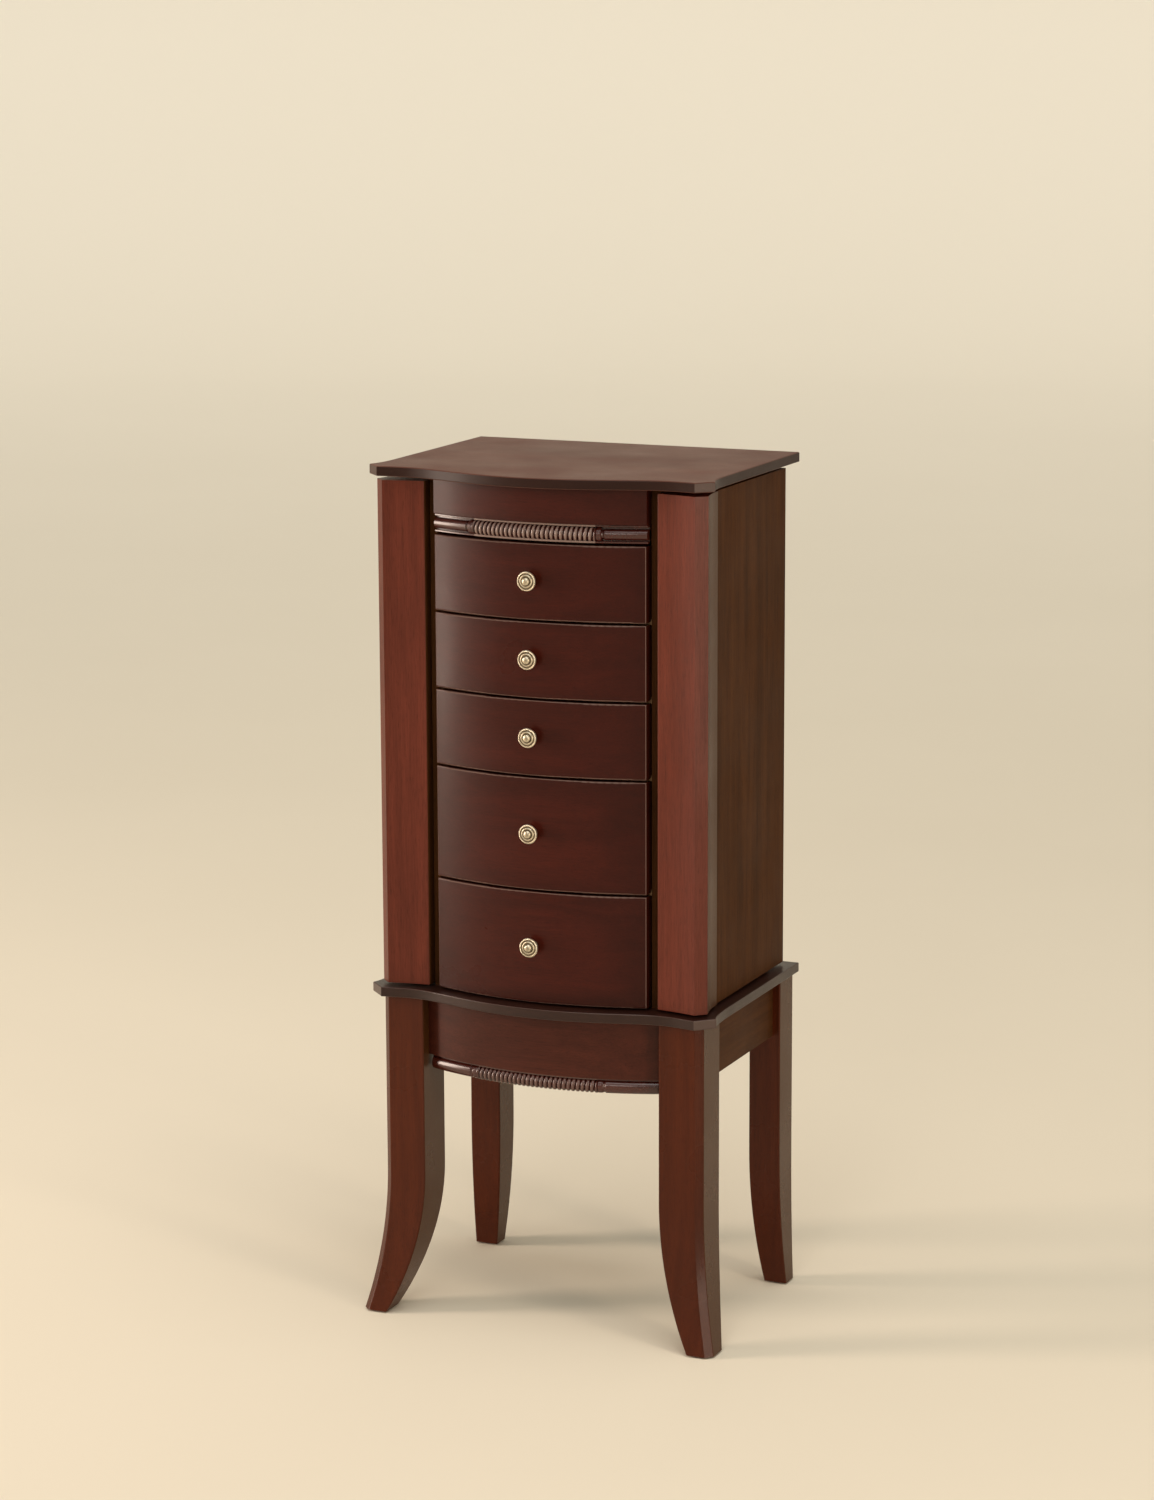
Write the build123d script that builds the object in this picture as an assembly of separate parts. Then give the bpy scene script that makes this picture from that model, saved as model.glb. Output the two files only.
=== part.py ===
from build123d import *

import os
from math import asin, cos, degrees, sin, sqrt

# A jewelry armoire: a bow-fronted chest of five drawers between two swinging necklace doors, under a
# lift-up lid with a mirror, on a stand with sabre legs. Millimetres, X to the right, Y to the back,
# Z up. The origin is on the floor, under the middle of the whole object. Right-hand pieces are
# modelled and their left-hand twins are mirror images.

# ---- Driving dimensions: heights -----------------------------------------------------------------
HEIGHT = 965.0
LID_THICKNESS = 11.0
LID_BOTTOM = HEIGHT - LID_THICKNESS
CARCASS_TOP = LID_BOTTOM - 1.0
BOARD_TOP = 379.5
BOARD_THICKNESS = 11.0
STAND_TOP = BOARD_TOP - BOARD_THICKNESS
APRON_BOTTOM = 301.0
FLARE_START = 165.0
GLIDE_HEIGHT = 2.0

# ---- Driving dimensions: plan --------------------------------------------------------------------
LID_BACK_Y = 157.5
LID_FRONT_Y = -158.9
BOARD_BACK_Y = 151.5
BOW_RADIUS = 358.0
BOW_FRONT_Y = -137.5
BOW_CENTRE_Y = BOW_FRONT_Y + BOW_RADIUS
BOW_AXIS = Axis((0, BOW_CENTRE_Y, 0), (0, 0, 1))

# ---- Carcass -------------------------------------------------------------------------------------
INNER_X = 126.0
SIDE_THICKNESS = 11.0
OUTER_X = INNER_X + SIDE_THICKNESS
SIDE_FRONT_Y = -101.0
BACK_Y = (126.0, 137.5)
BACK_HALF_WIDTH = 169.5
RAIL_Y = (BACK_Y[1], 153.8)
RAIL_Z = (928.0, 951.5)
RAIL_HALF_WIDTH = 150.0

# ---- Drawers, from the top down ------------------------------------------------------------------
FRONT_HALF_WIDTH = 125.3
FRONT_THICKNESS = 12.0
DRAWER_TOP = 891.3
DRAWER_GAP = 2.6
DRAWER_HEIGHTS = (83.2, 83.2, 83.2, 124.6, 124.6)
DIVIDER_THICKNESS = 5.0
DIVIDER_FRONT_Y = -99.0
SLIDING_GAP = 0.4
BOX_HALF_WIDTH = 121.0
BOX_SIDE_THICKNESS = 9.0
BOX_BACK_Y = 118.0
BOX_BOTTOM_THICKNESS = 4.0
BOX_HEADROOM = 9.0

# ---- Upper front panel and tray ------------------------------------------------------------------
PANEL_BOTTOM = 914.0
TRAY_FLOOR = (893.3, 899.3)
TRAY_LINING_TOP = 900.3
TRAY_WALL_TOP = 940.0
TRAY_WALL_X = 60.0
TRAY_WALL_THICKNESS = 5.0
SIDE_BAY_WALL_Y = 15.0
RING_BAY_WALL_Y = 40.0
ROLL_COUNT = 6
ROLL_PITCH = 25.0
ROLL_FRONT_Y = -115.0
ROLL_SIZE = (112.0, 24.0, 30.0)

# ---- Rope mouldings ------------------------------------------------------------------------------
UPPER_BEAD_RADIUS = 6.0
LOWER_BEAD_RADIUS = 7.7
ROPE_RADIUS = 8.0
BACKING_REACH = 6.0
ROPE_HALF_LENGTH = 80.0
BEAD_SETBACK = 6.6
BACKING_SETBACK = 8.0
BACKING_THICKNESS = 8.0
FILLET_STRIP = 2.4
UPPER_BEAD_Z = 903.4
LOWER_BEAD_Z = 291.6
APRON_HALF_WIDTH = 142.5
LOWER_ROPE_HALF_WIDTH = 137.3

# ---- Doors ---------------------------------------------------------------------------------------
DOOR_Z = (382.5, 949.0)
POST_INNER_X = 137.9
POST_BACK_Y = -98.0
POST_REAR_Y = -70.5
PANEL_X = (181.0, 188.0)
STILE_X = (170.0, 181.0)
STILE_Y = (119.5, 137.5)
DOOR_RAIL_X = (138.2, 181.0)
DOOR_RAIL_THICKNESS = 11.0
HOOK_RAIL_X = (175.0, 181.0)
HOOK_RAIL_Z = (903.0, 925.0)
HOOK_COUNT = 6
HOOK_Z = 911.0
HOOK_WIRE_RADIUS = 1.3
HOOK_REACH = 13.0
HOOK_TIP = 9.0
POCKET_HEIGHT = 70.0
POCKET_BULGE = 28.0
POCKET_THICKNESS = 1.6
POCKET_Y = (-68.0, 117.0)

# ---- Hinges and catches --------------------------------------------------------------------------
HINGE_OFFSET = 2.7
HINGE_LENGTH = 40.0
LEAF_WIDTH = 15.0
LEAF_THICKNESS = 1.2
KNUCKLE_RADIUS = 2.4
KNUCKLE_HALF = 7.0
KNUCKLE_PLAY = 0.15
PIN_RADIUS = 1.2
PIN_PLAY = 0.05
DOOR_AXIS_X = 169.75
DOOR_AXIS_Y = BACK_Y[1] + HINGE_OFFSET
DOOR_HINGE_Z = (455.0, 875.0)
LID_AXIS_Y = RAIL_Y[1] + HINGE_OFFSET
LID_AXIS_Z = LID_BOTTOM - HINGE_OFFSET
LID_HINGE_X = (-95.0, 95.0)
CATCH_Z = (655.0, 675.0)

# ---- Stand ---------------------------------------------------------------------------------------
LEG_OUTER_X = 193.0
LEG_INNER_X = 142.5
FRONT_LEG_Y = (-122.5, -68.5)
BACK_LEG_X = (157.5, 195.0)
BACK_LEG_Y = (111.0, BOARD_BACK_Y)
LEG_CORNER_CUT = 8.0
LEG_EDGE_RADIUS = 1.6
SIDE_APRON_X = (174.0, 186.0)
BACK_APRON_Y = (135.0, 147.0)
BLOCK_BOTTOM = 330.0
BLOCK_LEG = 34.0

# ---- Mirror --------------------------------------------------------------------------------------
MIRROR_HALF_WIDTH = 112.0
MIRROR_Y = (-92.0, 112.0)
FRAME_WIDTH = 16.0
FRAME_THICKNESS = 8.0
FRAME_LIP = 5.0
GLASS_THICKNESS = 3.3
GLASS_PLAY = 0.2


# ---- Shared shapes -------------------------------------------------------------------------------
def board(x, y, z):
    """A rectangular board between the low and high end of each axis."""
    middle = Pos((x[0] + x[1]) / 2, (y[0] + y[1]) / 2, (z[0] + z[1]) / 2)
    return middle * Box(x[1] - x[0], y[1] - y[0], z[1] - z[0])


def prism(edges, z):
    """A closed plan outline raised from the low to the high end of z."""
    return Pos(0, 0, z[0]) * extrude(make_face(edges), amount=z[1] - z[0])


def cylinder_y(radius, x, z, y):
    """A round bar along Y."""
    turned = Rot(90, 0, 0) * Cylinder(radius, y[1] - y[0])
    return Pos(x, (y[0] + y[1]) / 2, z) * turned


def mirrored(shape):
    """The left-hand twin of a right-hand piece."""
    return mirror(shape, about=Plane.YZ)


def group(solids):
    """Separate solids kept together in one node."""
    return Compound(children=list(solids))


def bow_y(x, setback=0.0):
    """The front face of the bowed drawers at x, moved back by a setback."""
    return BOW_CENTRE_Y - sqrt((BOW_RADIUS - setback) ** 2 - x ** 2)


def bow_arc(half_width, setback=0.0):
    """The bow of the drawer fronts between two ends."""
    end_y = bow_y(half_width, setback)
    return ThreePointArc((-half_width, end_y), (0, bow_y(0, setback)), (half_width, end_y))


def bowed_board(half_width, z, thickness, setback=0.0):
    """A board of even thickness, bent to the bow."""
    inner = setback + thickness
    front = bow_arc(half_width, setback)
    back = bow_arc(half_width, inner)
    right = Line((half_width, bow_y(half_width, setback)), (half_width, bow_y(half_width, inner)))
    left = Line((-half_width, bow_y(half_width, setback)), (-half_width, bow_y(half_width, inner)))
    return prism([front, right, back, left], z)


def flat_behind_bow(half_width, back_y, z, setback):
    """A flat sheet whose front edge follows the bow."""
    end_y = bow_y(half_width, setback)
    rest = Polyline((half_width, end_y), (half_width, back_y), (-half_width, back_y), (-half_width, end_y))
    return prism([bow_arc(half_width, setback), rest], z)


def serpentine_board(z, front_y, back_y, half_width, trough, ear):
    """A board with a serpentine front, canted ears and hollowed sides, like the lid."""
    (ear_in_x, ear_in_y), (ear_out_x, ear_out_y) = ear
    shoulder_x = trough[0] * 0.66
    shoulder_y = front_y + (trough[1] - front_y) * 0.62
    side_y = ear_out_y + 49.0
    front = Spline(
        (0, front_y),
        (shoulder_x, shoulder_y),
        trough,
        (ear_in_x, ear_in_y),
        tangents=[(1, 0), (1, -0.16)],
    )
    cant = Line((ear_in_x, ear_in_y), (ear_out_x, ear_out_y))
    hollow = Spline(
        (ear_out_x, ear_out_y),
        (half_width + 1.0, side_y - 24.0),
        (half_width, side_y),
        tangents=[(-0.5, 1), (0, 1)],
    )
    side = Polyline((half_width, side_y), (half_width, back_y), (0, back_y))
    half = prism([front, cant, hollow, side, Line((0, back_y), (0, front_y))], z)
    return half + mirrored(half)


def ease(shape, radius, axis=Axis.Z, end=-1):
    """Rounds the edges around one end face of a piece."""
    return fillet(shape.faces().sort_by(axis)[end].edges(), radius)


# ---- Rope mouldings ------------------------------------------------------------------------------
def bow_bead(radius, half_width, z):
    """A round bead that follows the bow."""
    arc_radius = BOW_RADIUS - BEAD_SETBACK
    half_angle = degrees(asin((half_width + radius) / arc_radius))
    start = Plane(origin=(0, BOW_CENTRE_Y - arc_radius, z), x_dir=(0, 1, 0), z_dir=(1, 0, 0))
    disc = (start * Circle(radius)).rotate(BOW_AXIS, -half_angle)
    ring = revolve(disc, axis=BOW_AXIS, revolution_arc=2 * half_angle)
    clip = board((-half_width, half_width), (BOW_FRONT_Y - 50, 0), (z - radius - 1, z + radius + 1))
    return ring & clip


def rope_moulding(half_width, bead_radius, bead_z, backing_z, strips):
    """A bead with a thicker rope length at the middle, on a backing with thin fillet strips."""
    moulding = bowed_board(half_width, backing_z, BACKING_THICKNESS, BACKING_SETBACK)
    moulding += bow_bead(bead_radius, half_width, bead_z)
    moulding += bow_bead(ROPE_RADIUS, ROPE_HALF_LENGTH, bead_z)
    for low in strips:
        strip_setback = 3.0
        depth = BACKING_SETBACK + BACKING_THICKNESS - strip_setback
        moulding += bowed_board(half_width, (low, low + FILLET_STRIP), depth, strip_setback)
    return moulding


# ---- Stand ---------------------------------------------------------------------------------------
def flare_arc(edge, shift):
    """One long edge of a leg below the flare's start, upright at its top."""
    drop = FLARE_START - GLIDE_HEIGHT
    radius = (drop ** 2 + shift ** 2) / (2 * abs(shift))
    halfway = (radius - sqrt(radius ** 2 - (drop / 2) ** 2)) * (1 if shift > 0 else -1)
    foot = (edge + shift, GLIDE_HEIGHT)
    return ThreePointArc(foot, (edge + halfway, FLARE_START - drop / 2), (edge, FLARE_START))


def leg_template(outer, inner, outer_shift, inner_shift):
    """The outline sawn on one face of a leg: across, up."""
    if outer_shift:
        outer_side = flare_arc(outer, outer_shift)
    else:
        outer_side = Line((outer, GLIDE_HEIGHT), (outer, FLARE_START))
    top = Polyline((outer, FLARE_START), (outer, STAND_TOP), (inner, STAND_TOP), (inner, FLARE_START))
    inner_side = flare_arc(inner, inner_shift)
    foot = Line((inner + inner_shift, GLIDE_HEIGHT), (outer + outer_shift, GLIDE_HEIGHT))
    return make_face([outer_side, top, inner_side, foot])


def sawn_leg(front_template, side_template):
    """A leg sawn to one template from the front and another from the side."""
    reach = 400.0
    from_front = extrude(Plane.XZ * front_template, amount=reach, both=True)
    from_side = extrude(Plane.YZ * side_template, amount=reach, both=True)
    return from_front & from_side


def round_long_edges(leg, radius):
    """Rounds a leg's upright edges, from foot to top."""
    uprights = [edge for edge in leg.edges() if edge.bounding_box().size.Z > 50.0]
    return fillet(uprights, radius)


def front_leg():
    outer_shift, inner_shift = 20.5, 41.0
    front = leg_template(LEG_OUTER_X, LEG_INNER_X, outer_shift, inner_shift)
    side = leg_template(FRONT_LEG_Y[0], FRONT_LEG_Y[1], -outer_shift, -inner_shift)
    leg = sawn_leg(front, side)
    corner = (LEG_OUTER_X - FRONT_LEG_Y[0] - LEG_CORNER_CUT) / sqrt(2)
    diagonal = Plane(origin=(0, 0, 0), x_dir=(1, -1, 0), z_dir=(-1, -1, 0))
    canted = leg_template(corner, 0.0, outer_shift * sqrt(2), 0.01)
    leg &= extrude(diagonal * canted, amount=400.0, both=True)
    return round_long_edges(leg, LEG_EDGE_RADIUS)


def back_leg():
    front = leg_template(BACK_LEG_X[1], BACK_LEG_X[0], 3.0, 13.0)
    side = leg_template(BACK_LEG_Y[1], BACK_LEG_Y[0], 0.0, 17.0)
    return round_long_edges(sawn_leg(front, side), LEG_EDGE_RADIUS)


def floor_glides():
    feet = ((198.4, -126.9, 9.0), (184.3, 139.8, 8.0))
    glides = []
    for x, y, radius in feet:
        for side in (-1, 1):
            glides.append(Pos(side * x, y, GLIDE_HEIGHT / 2) * Cylinder(radius, GLIDE_HEIGHT))
    return group(glides)


def front_apron():
    return bowed_board(APRON_HALF_WIDTH, (APRON_BOTTOM, STAND_TOP), 14.0)


def side_apron():
    return board(SIDE_APRON_X, (FRONT_LEG_Y[1], BACK_LEG_Y[0]), (APRON_BOTTOM, STAND_TOP))


def back_apron():
    return board((-BACK_LEG_X[0], BACK_LEG_X[0]), BACK_APRON_Y, (APRON_BOTTOM, STAND_TOP))


def block_corners():
    """The right-angled corner of each right-hand glue block, and which way its other leg runs."""
    inner_x = SIDE_APRON_X[0]
    return ((inner_x, FRONT_LEG_Y[1], 1, LEG_INNER_X), (inner_x, BACK_LEG_Y[0], -1, BACK_LEG_X[0]))


def screw_spots():
    """Where the stand's screws run up through the glue blocks."""
    spots = []
    for x, y, way, leg_x in block_corners():
        for side in (-1, 1):
            spots.append((side * (x - 0.36 * (x - leg_x)), y + way * 11.0))
    return spots


def corner_blocks():
    """Three-cornered glue blocks between the side aprons and the legs, each bored for a screw."""
    blocks = []
    for x, y, way, leg_x in block_corners():
        outline = Polyline((x, y), (leg_x, y), (x, y + way * BLOCK_LEG), close=True)
        block = prism([outline], (BLOCK_BOTTOM, STAND_TOP))
        blocks += [block, mirrored(block)]
    bored = []
    for block in blocks:
        for x, y in screw_spots():
            block -= Pos(x, y, STAND_TOP - 20) * Cylinder(2.3, 60)
        bored.append(block)
    return group(bored)


def stand_screws():
    screws = []
    for x, y in screw_spots():
        shank = Pos(x, y, 351.0) * Cylinder(2.0, 48.0)
        head = Pos(x, y, BLOCK_BOTTOM - 1.5) * Cylinder(4.0, 3.0)
        screws.append(shank + head)
    return group(screws)


def base_board():
    ear = ((188.6, -133.9), (207.7, -115.1))
    flat = serpentine_board((STAND_TOP, BOARD_TOP), -155.0, BOARD_BACK_Y, 202.0, (154.0, -128.5), ear)
    flat = ease(ease(flat, 1.2), 1.2, end=0)
    for x, y in screw_spots():
        flat -= Pos(x, y, STAND_TOP + 4.0) * Cylinder(2.05, 8.0)
    return flat


# ---- Carcass -------------------------------------------------------------------------------------
def carcass_side():
    return board((INNER_X, OUTER_X), (SIDE_FRONT_Y, BACK_Y[0]), (BOARD_TOP, CARCASS_TOP))


def carcass_back():
    return board((-BACK_HALF_WIDTH, BACK_HALF_WIDTH), BACK_Y, (BOARD_TOP, CARCASS_TOP))


def hinge_rail():
    return board((-RAIL_HALF_WIDTH, RAIL_HALF_WIDTH), RAIL_Y, RAIL_Z)


def drawer_spans():
    """The low and high edge of each drawer front, from the top down."""
    spans = []
    top = DRAWER_TOP
    for height in DRAWER_HEIGHTS:
        spans.append((top - height, top))
        top -= height + DRAWER_GAP
    return spans


def divider_spans():
    """Dust boards, one behind each gap between two drawers."""
    spans = []
    for low, _ in drawer_spans()[:-1]:
        middle = low - DRAWER_GAP / 2
        spans.append((middle - DIVIDER_THICKNESS / 2, middle + DIVIDER_THICKNESS / 2))
    return spans


def drawer_dividers():
    return group([board((-INNER_X, INNER_X), (DIVIDER_FRONT_Y, BACK_Y[0]), span) for span in divider_spans()])


def upper_front_panel():
    panel = bowed_board(FRONT_HALF_WIDTH + 0.7, (PANEL_BOTTOM, CARCASS_TOP), FRONT_THICKNESS)
    return fillet(panel.edges().filter_by(GeomType.CIRCLE).group_by(Axis.Z)[0].sort_by(Axis.Y)[0], 1.0)


def upper_rope_moulding():
    low = DRAWER_TOP + DRAWER_GAP
    strips = (low, PANEL_BOTTOM - FILLET_STRIP)
    return rope_moulding(INNER_X, UPPER_BEAD_RADIUS, UPPER_BEAD_Z, (low, PANEL_BOTTOM), strips)


def apron_rope_moulding():
    low = LOWER_BEAD_Z - BACKING_REACH
    strips = (APRON_BOTTOM - FILLET_STRIP,)
    backing_z = (low, APRON_BOTTOM)
    return rope_moulding(LOWER_ROPE_HALF_WIDTH, LOWER_BEAD_RADIUS, LOWER_BEAD_Z, backing_z, strips)


# ---- Top tray ------------------------------------------------------------------------------------
def tray_floor():
    setback = BACKING_SETBACK + BACKING_THICKNESS + 0.1
    return flat_behind_bow(INNER_X, BACK_Y[0], TRAY_FLOOR, setback)


def tray_lining():
    setback = BACKING_SETBACK + BACKING_THICKNESS + 0.1
    return flat_behind_bow(INNER_X - 0.2, BACK_Y[0] - 0.2, (TRAY_FLOOR[1], TRAY_LINING_TOP), setback)


def tray_dividers():
    """Two long walls and three cross walls, standing on the lining."""
    z = (TRAY_LINING_TOP, TRAY_WALL_TOP)
    half = TRAY_WALL_THICKNESS / 2
    inner_end = TRAY_WALL_X - half
    outer_face = TRAY_WALL_X + half
    front_y = bow_y(outer_face, FRONT_THICKNESS) + 6.0
    side_wall_y = (SIDE_BAY_WALL_Y - half, SIDE_BAY_WALL_Y + half)
    ring_wall_y = (RING_BAY_WALL_Y - half, RING_BAY_WALL_Y + half)
    long_wall = board((inner_end, outer_face), (front_y, BACK_Y[0] - 0.2), z)
    cross_wall = board((outer_face, INNER_X - 0.2), side_wall_y, z)
    ring_wall = board((-inner_end, inner_end), ring_wall_y, z)
    return group([long_wall, mirrored(long_wall), cross_wall, mirrored(cross_wall), ring_wall])


def ring_rolls():
    """Soft rolls side by side, with slots between them for rings."""
    length, width, height = ROLL_SIZE
    rolls = []
    for index in range(ROLL_COUNT):
        y = ROLL_FRONT_Y + ROLL_PITCH * (index + 0.5)
        roll = Pos(0, y, TRAY_LINING_TOP + height / 2) * Box(length, width, height)
        rolls.append(fillet(roll.edges().filter_by(Axis.X), 8.0))
    return group(rolls)


# ---- Lid -----------------------------------------------------------------------------------------
def lid_board():
    ear = ((187.3, -130.0), (204.2, -113.1))
    flat = serpentine_board((LID_BOTTOM, HEIGHT), LID_FRONT_Y, LID_BACK_Y, 196.6, (154.0, -126.6), ear)
    return ease(ease(flat, 1.5), 1.0, end=0)


def rabbet():
    """The space for the mirror glass in its frame, open towards the lid."""
    x = MIRROR_HALF_WIDTH - FRAME_WIDTH + FRAME_LIP
    y = (MIRROR_Y[0] + FRAME_WIDTH - FRAME_LIP, MIRROR_Y[1] - FRAME_WIDTH + FRAME_LIP)
    return x, y, LID_BOTTOM - GLASS_THICKNESS - GLASS_PLAY


def mirror_frame():
    """Four mitred rails with a rabbet for the glass."""
    half = MIRROR_HALF_WIDTH
    low, high = MIRROR_Y
    inner, inner_low, inner_high = half - FRAME_WIDTH, low + FRAME_WIDTH, high - FRAME_WIDTH
    outlines = (
        ((-half, low), (half, low), (inner, inner_low), (-inner, inner_low)),
        ((-half, high), (half, high), (inner, inner_high), (-inner, inner_high)),
        ((half, low), (half, high), (inner, inner_high), (inner, inner_low)),
        ((-half, low), (-half, high), (-inner, inner_high), (-inner, inner_low)),
    )
    x, y, bottom = rabbet()
    seat = board((-x, x), y, (bottom, LID_BOTTOM))
    z = (LID_BOTTOM - FRAME_THICKNESS, LID_BOTTOM)
    return group([prism([Polyline(*outline, close=True)], z) - seat for outline in outlines])


def mirror_glass():
    x, y, bottom = rabbet()
    low = bottom + GLASS_PLAY / 2
    half = x - GLASS_PLAY
    return board((-half, half), (y[0] + GLASS_PLAY, y[1] - GLASS_PLAY), (low, low + GLASS_THICKNESS))


# ---- Doors ---------------------------------------------------------------------------------------
def door_post():
    """The front corner post: a hollowed face, a canted corner and a return along the side."""
    face = ThreePointArc((POST_INNER_X, -114.0), (161.3, -117.2), (184.8, -122.5))
    cant = Line((184.8, -122.5), (195.8, -111.4))
    hollow = ThreePointArc((195.8, -111.4), (191.6, -91.5), (190.0, POST_REAR_Y))
    inside = Polyline(
        (190.0, POST_REAR_Y),
        (PANEL_X[0], POST_REAR_Y),
        (PANEL_X[0], POST_BACK_Y),
        (POST_INNER_X, POST_BACK_Y),
        (POST_INNER_X, -114.0),
    )
    post = prism([face, cant, hollow, inside], DOOR_Z)
    front_edge = post.edges().filter_by(Axis.Z).sort_by(Axis.X)[:2].sort_by(Axis.Y)[0]
    return fillet(front_edge, 1.5)


def door_panel():
    return board(PANEL_X, (POST_REAR_Y, BACK_Y[1]), DOOR_Z)


def door_frame():
    """The rear stile, the top and bottom rails and the hook rail behind the panel."""
    stile = board(STILE_X, STILE_Y, DOOR_Z)
    rail_y = (POST_BACK_Y, STILE_Y[0])
    bottom = board(DOOR_RAIL_X, rail_y, (DOOR_Z[0], DOOR_Z[0] + DOOR_RAIL_THICKNESS))
    top = board(DOOR_RAIL_X, rail_y, (DOOR_Z[1] - DOOR_RAIL_THICKNESS, DOOR_Z[1]))
    hook_rail = board(HOOK_RAIL_X, (POST_REAR_Y, STILE_Y[0]), HOOK_RAIL_Z)
    return group([stile, bottom, top, hook_rail])


def necklace_hooks():
    """Wire hooks with an upturned tip, in a row on the hook rail."""
    hooks = []
    root_x = HOOK_RAIL_X[0]
    spacing = (STILE_Y[0] - POST_REAR_Y) / HOOK_COUNT
    for index in range(HOOK_COUNT):
        y = POST_REAR_Y + spacing * (index + 0.5)
        corner = (root_x - HOOK_REACH, y, HOOK_Z)
        tip = (root_x - HOOK_REACH, y, HOOK_Z + HOOK_TIP)
        path = FilletPolyline((root_x, y, HOOK_Z), corner, tip, radius=4.0)
        section = Plane(origin=(root_x, y, HOOK_Z), z_dir=(-1, 0, 0)) * Circle(HOOK_WIRE_RADIUS)
        hooks.append(sweep(section, path=path))
    return group(hooks)


def pocket_arc(bulge, y):
    """The curve of the pocket cloth in plan, from the post to the rear stile."""
    x = PANEL_X[0] - 0.2
    return ThreePointArc((x, y[0]), (x - bulge, (y[0] + y[1]) / 2), (x, y[1]))


def necklace_pocket():
    """The cloth pocket that catches the necklaces' ends, on the bottom rail."""
    x = PANEL_X[0] - 0.2
    inner_y = (POCKET_Y[0] + 2.4, POCKET_Y[1] - 2.4)
    outer = pocket_arc(POCKET_BULGE, POCKET_Y)
    inner = pocket_arc(POCKET_BULGE - POCKET_THICKNESS, inner_y)
    ends = [Line((x, POCKET_Y[end]), (x, inner_y[end])) for end in (0, 1)]
    bottom = DOOR_Z[0] + DOOR_RAIL_THICKNESS
    return prism([outer, ends[0], inner, ends[1]], (bottom, bottom + POCKET_HEIGHT))


# ---- Hinges and catches --------------------------------------------------------------------------
def hinge_leaf(fixed):
    """A leaf lying towards -X of an upright pin at the origin, its plate on the -Y side.

    The fixed leaf has the outer knuckles and the pin, and the other the middle knuckle.
    """
    half = HINGE_LENGTH / 2
    plate_y = (-HINGE_OFFSET, LEAF_THICKNESS - HINGE_OFFSET)
    clear_x = -(KNUCKLE_RADIUS + 0.4)
    leaf = board((-LEAF_WIDTH, clear_x), plate_y, (-half, half))
    if fixed:
        spans = ((-half, -KNUCKLE_HALF), (KNUCKLE_HALF, half))
    else:
        spans = ((KNUCKLE_PLAY - KNUCKLE_HALF, KNUCKLE_HALF - KNUCKLE_PLAY),)
    for low, high in spans:
        tab = board((clear_x, 0), (-KNUCKLE_RADIUS, plate_y[1]), (low, high))
        strap = board((clear_x - 1.0, -1.0), (plate_y[0] + 0.3, plate_y[1]), (low, high))
        knuckle = Pos(0, 0, (low + high) / 2) * Cylinder(KNUCKLE_RADIUS, high - low)
        leaf += tab + strap + knuckle
    if fixed:
        return leaf + Cylinder(PIN_RADIUS, HINGE_LENGTH)
    return leaf - Cylinder(PIN_RADIUS + PIN_PLAY, HINGE_LENGTH)


def door_leaves(fixed):
    """The right door's leaves on the rear faces of the carcass back and the door."""
    leaf = hinge_leaf(fixed)
    if not fixed:
        leaf = mirrored(leaf)
    return [Pos(DOOR_AXIS_X, DOOR_AXIS_Y, z) * leaf for z in DOOR_HINGE_Z]


def lid_leaves(fixed):
    """The lid's leaves: on the rear face of the hinge rail, and under the lid."""
    if fixed:
        down = Plane(origin=(0, LID_AXIS_Y, LID_AXIS_Z), x_dir=(0, 0, 1), z_dir=(-1, 0, 0))
    else:
        down = Plane(origin=(0, LID_AXIS_Y, LID_AXIS_Z), x_dir=(0, 1, 0), z_dir=(1, 0, 0))
    leaf = hinge_leaf(fixed)
    if not fixed:
        leaf = mirror(leaf, about=Plane.XZ)
    return [Pos(x, 0, 0) * (down * leaf) for x in LID_HINGE_X]


def door_catch():
    """The magnet case on the carcass side."""
    return board((OUTER_X, OUTER_X + 13.0), (POST_BACK_Y + 1.6, POST_BACK_Y + 22.0), CATCH_Z)


def strike_plate():
    """The steel plate behind the door's post that meets the magnet."""
    return board((140.0, 158.0), (POST_BACK_Y, POST_BACK_Y + 1.0), (CATCH_Z[0] - 5, CATCH_Z[1] + 5))


# ---- Drawers -------------------------------------------------------------------------------------
def drawer_front(span):
    front = bowed_board(FRONT_HALF_WIDTH, span, FRONT_THICKNESS)
    outer_face = front.faces().filter_by(GeomType.CYLINDER).sort_by(Axis.Y)[0]
    front = fillet(outer_face.edges(), 1.6)
    knob_z = (span[0] + span[1]) / 2 + 2.0
    return front - cylinder_y(2.3, 0, knob_z, (BOW_FRONT_Y - 5, BOW_FRONT_Y + 20))


def drawer_box(span, rest_z):
    """Two sides, a back and a bottom, each its own board."""
    bottom = rest_z + SLIDING_GAP
    top = span[1] - BOX_HEADROOM
    inner_x = BOX_HALF_WIDTH - BOX_SIDE_THICKNESS
    reach = FRONT_THICKNESS + 0.1
    outline = Polyline(
        (inner_x, bow_y(inner_x, reach)),
        (BOX_HALF_WIDTH, bow_y(BOX_HALF_WIDTH, reach)),
        (BOX_HALF_WIDTH, BOX_BACK_Y),
        (inner_x, BOX_BACK_Y),
        close=True,
    )
    side = prism([outline], (bottom, top))
    back_front_y = BOX_BACK_Y - BOX_SIDE_THICKNESS
    back = board((-inner_x, inner_x), (back_front_y, BOX_BACK_Y), (bottom, top))
    floor_z = (bottom, bottom + BOX_BOTTOM_THICKNESS)
    floor = flat_behind_bow(inner_x, back_front_y, floor_z, reach)
    return group([side, mirrored(side), back, floor])


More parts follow.
